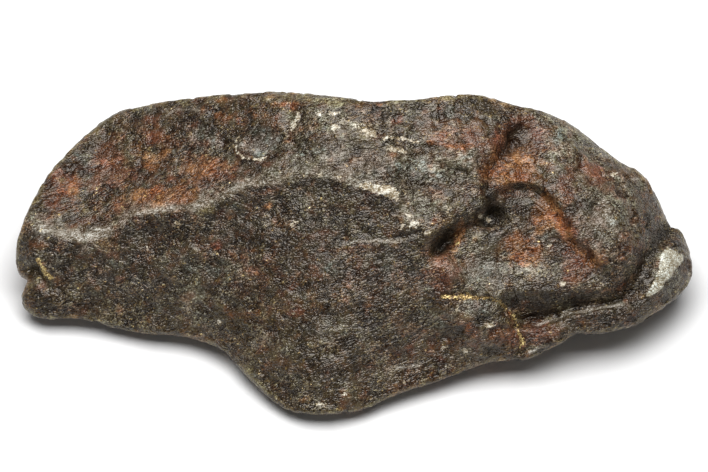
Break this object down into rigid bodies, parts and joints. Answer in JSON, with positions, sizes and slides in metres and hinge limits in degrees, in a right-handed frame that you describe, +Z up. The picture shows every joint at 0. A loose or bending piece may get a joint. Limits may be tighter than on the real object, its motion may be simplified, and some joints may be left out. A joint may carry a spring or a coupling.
{
  "type": "iron meteorite",
  "caption": "Dark, rusted iron meteorite with a winding ridge, a broad sloping face and deep hollows at one end, lying on a small flat spot.",
  "frame": {"origin": "middle of the stone's box, on the level of the small flat spot that it rests on", "axes": "+X along the stone's length towards the end with the hollows, +Y away from the broad sloping face, +Z up"},
  "size_m": [0.1406, 0.0656, 0.0391],
  "materials": {
    "rusted_iron": "satin"
  },
  "bodies": {
    "root": {"iron_meteorite": "rusted_iron"}
  },
  "joints": []
}
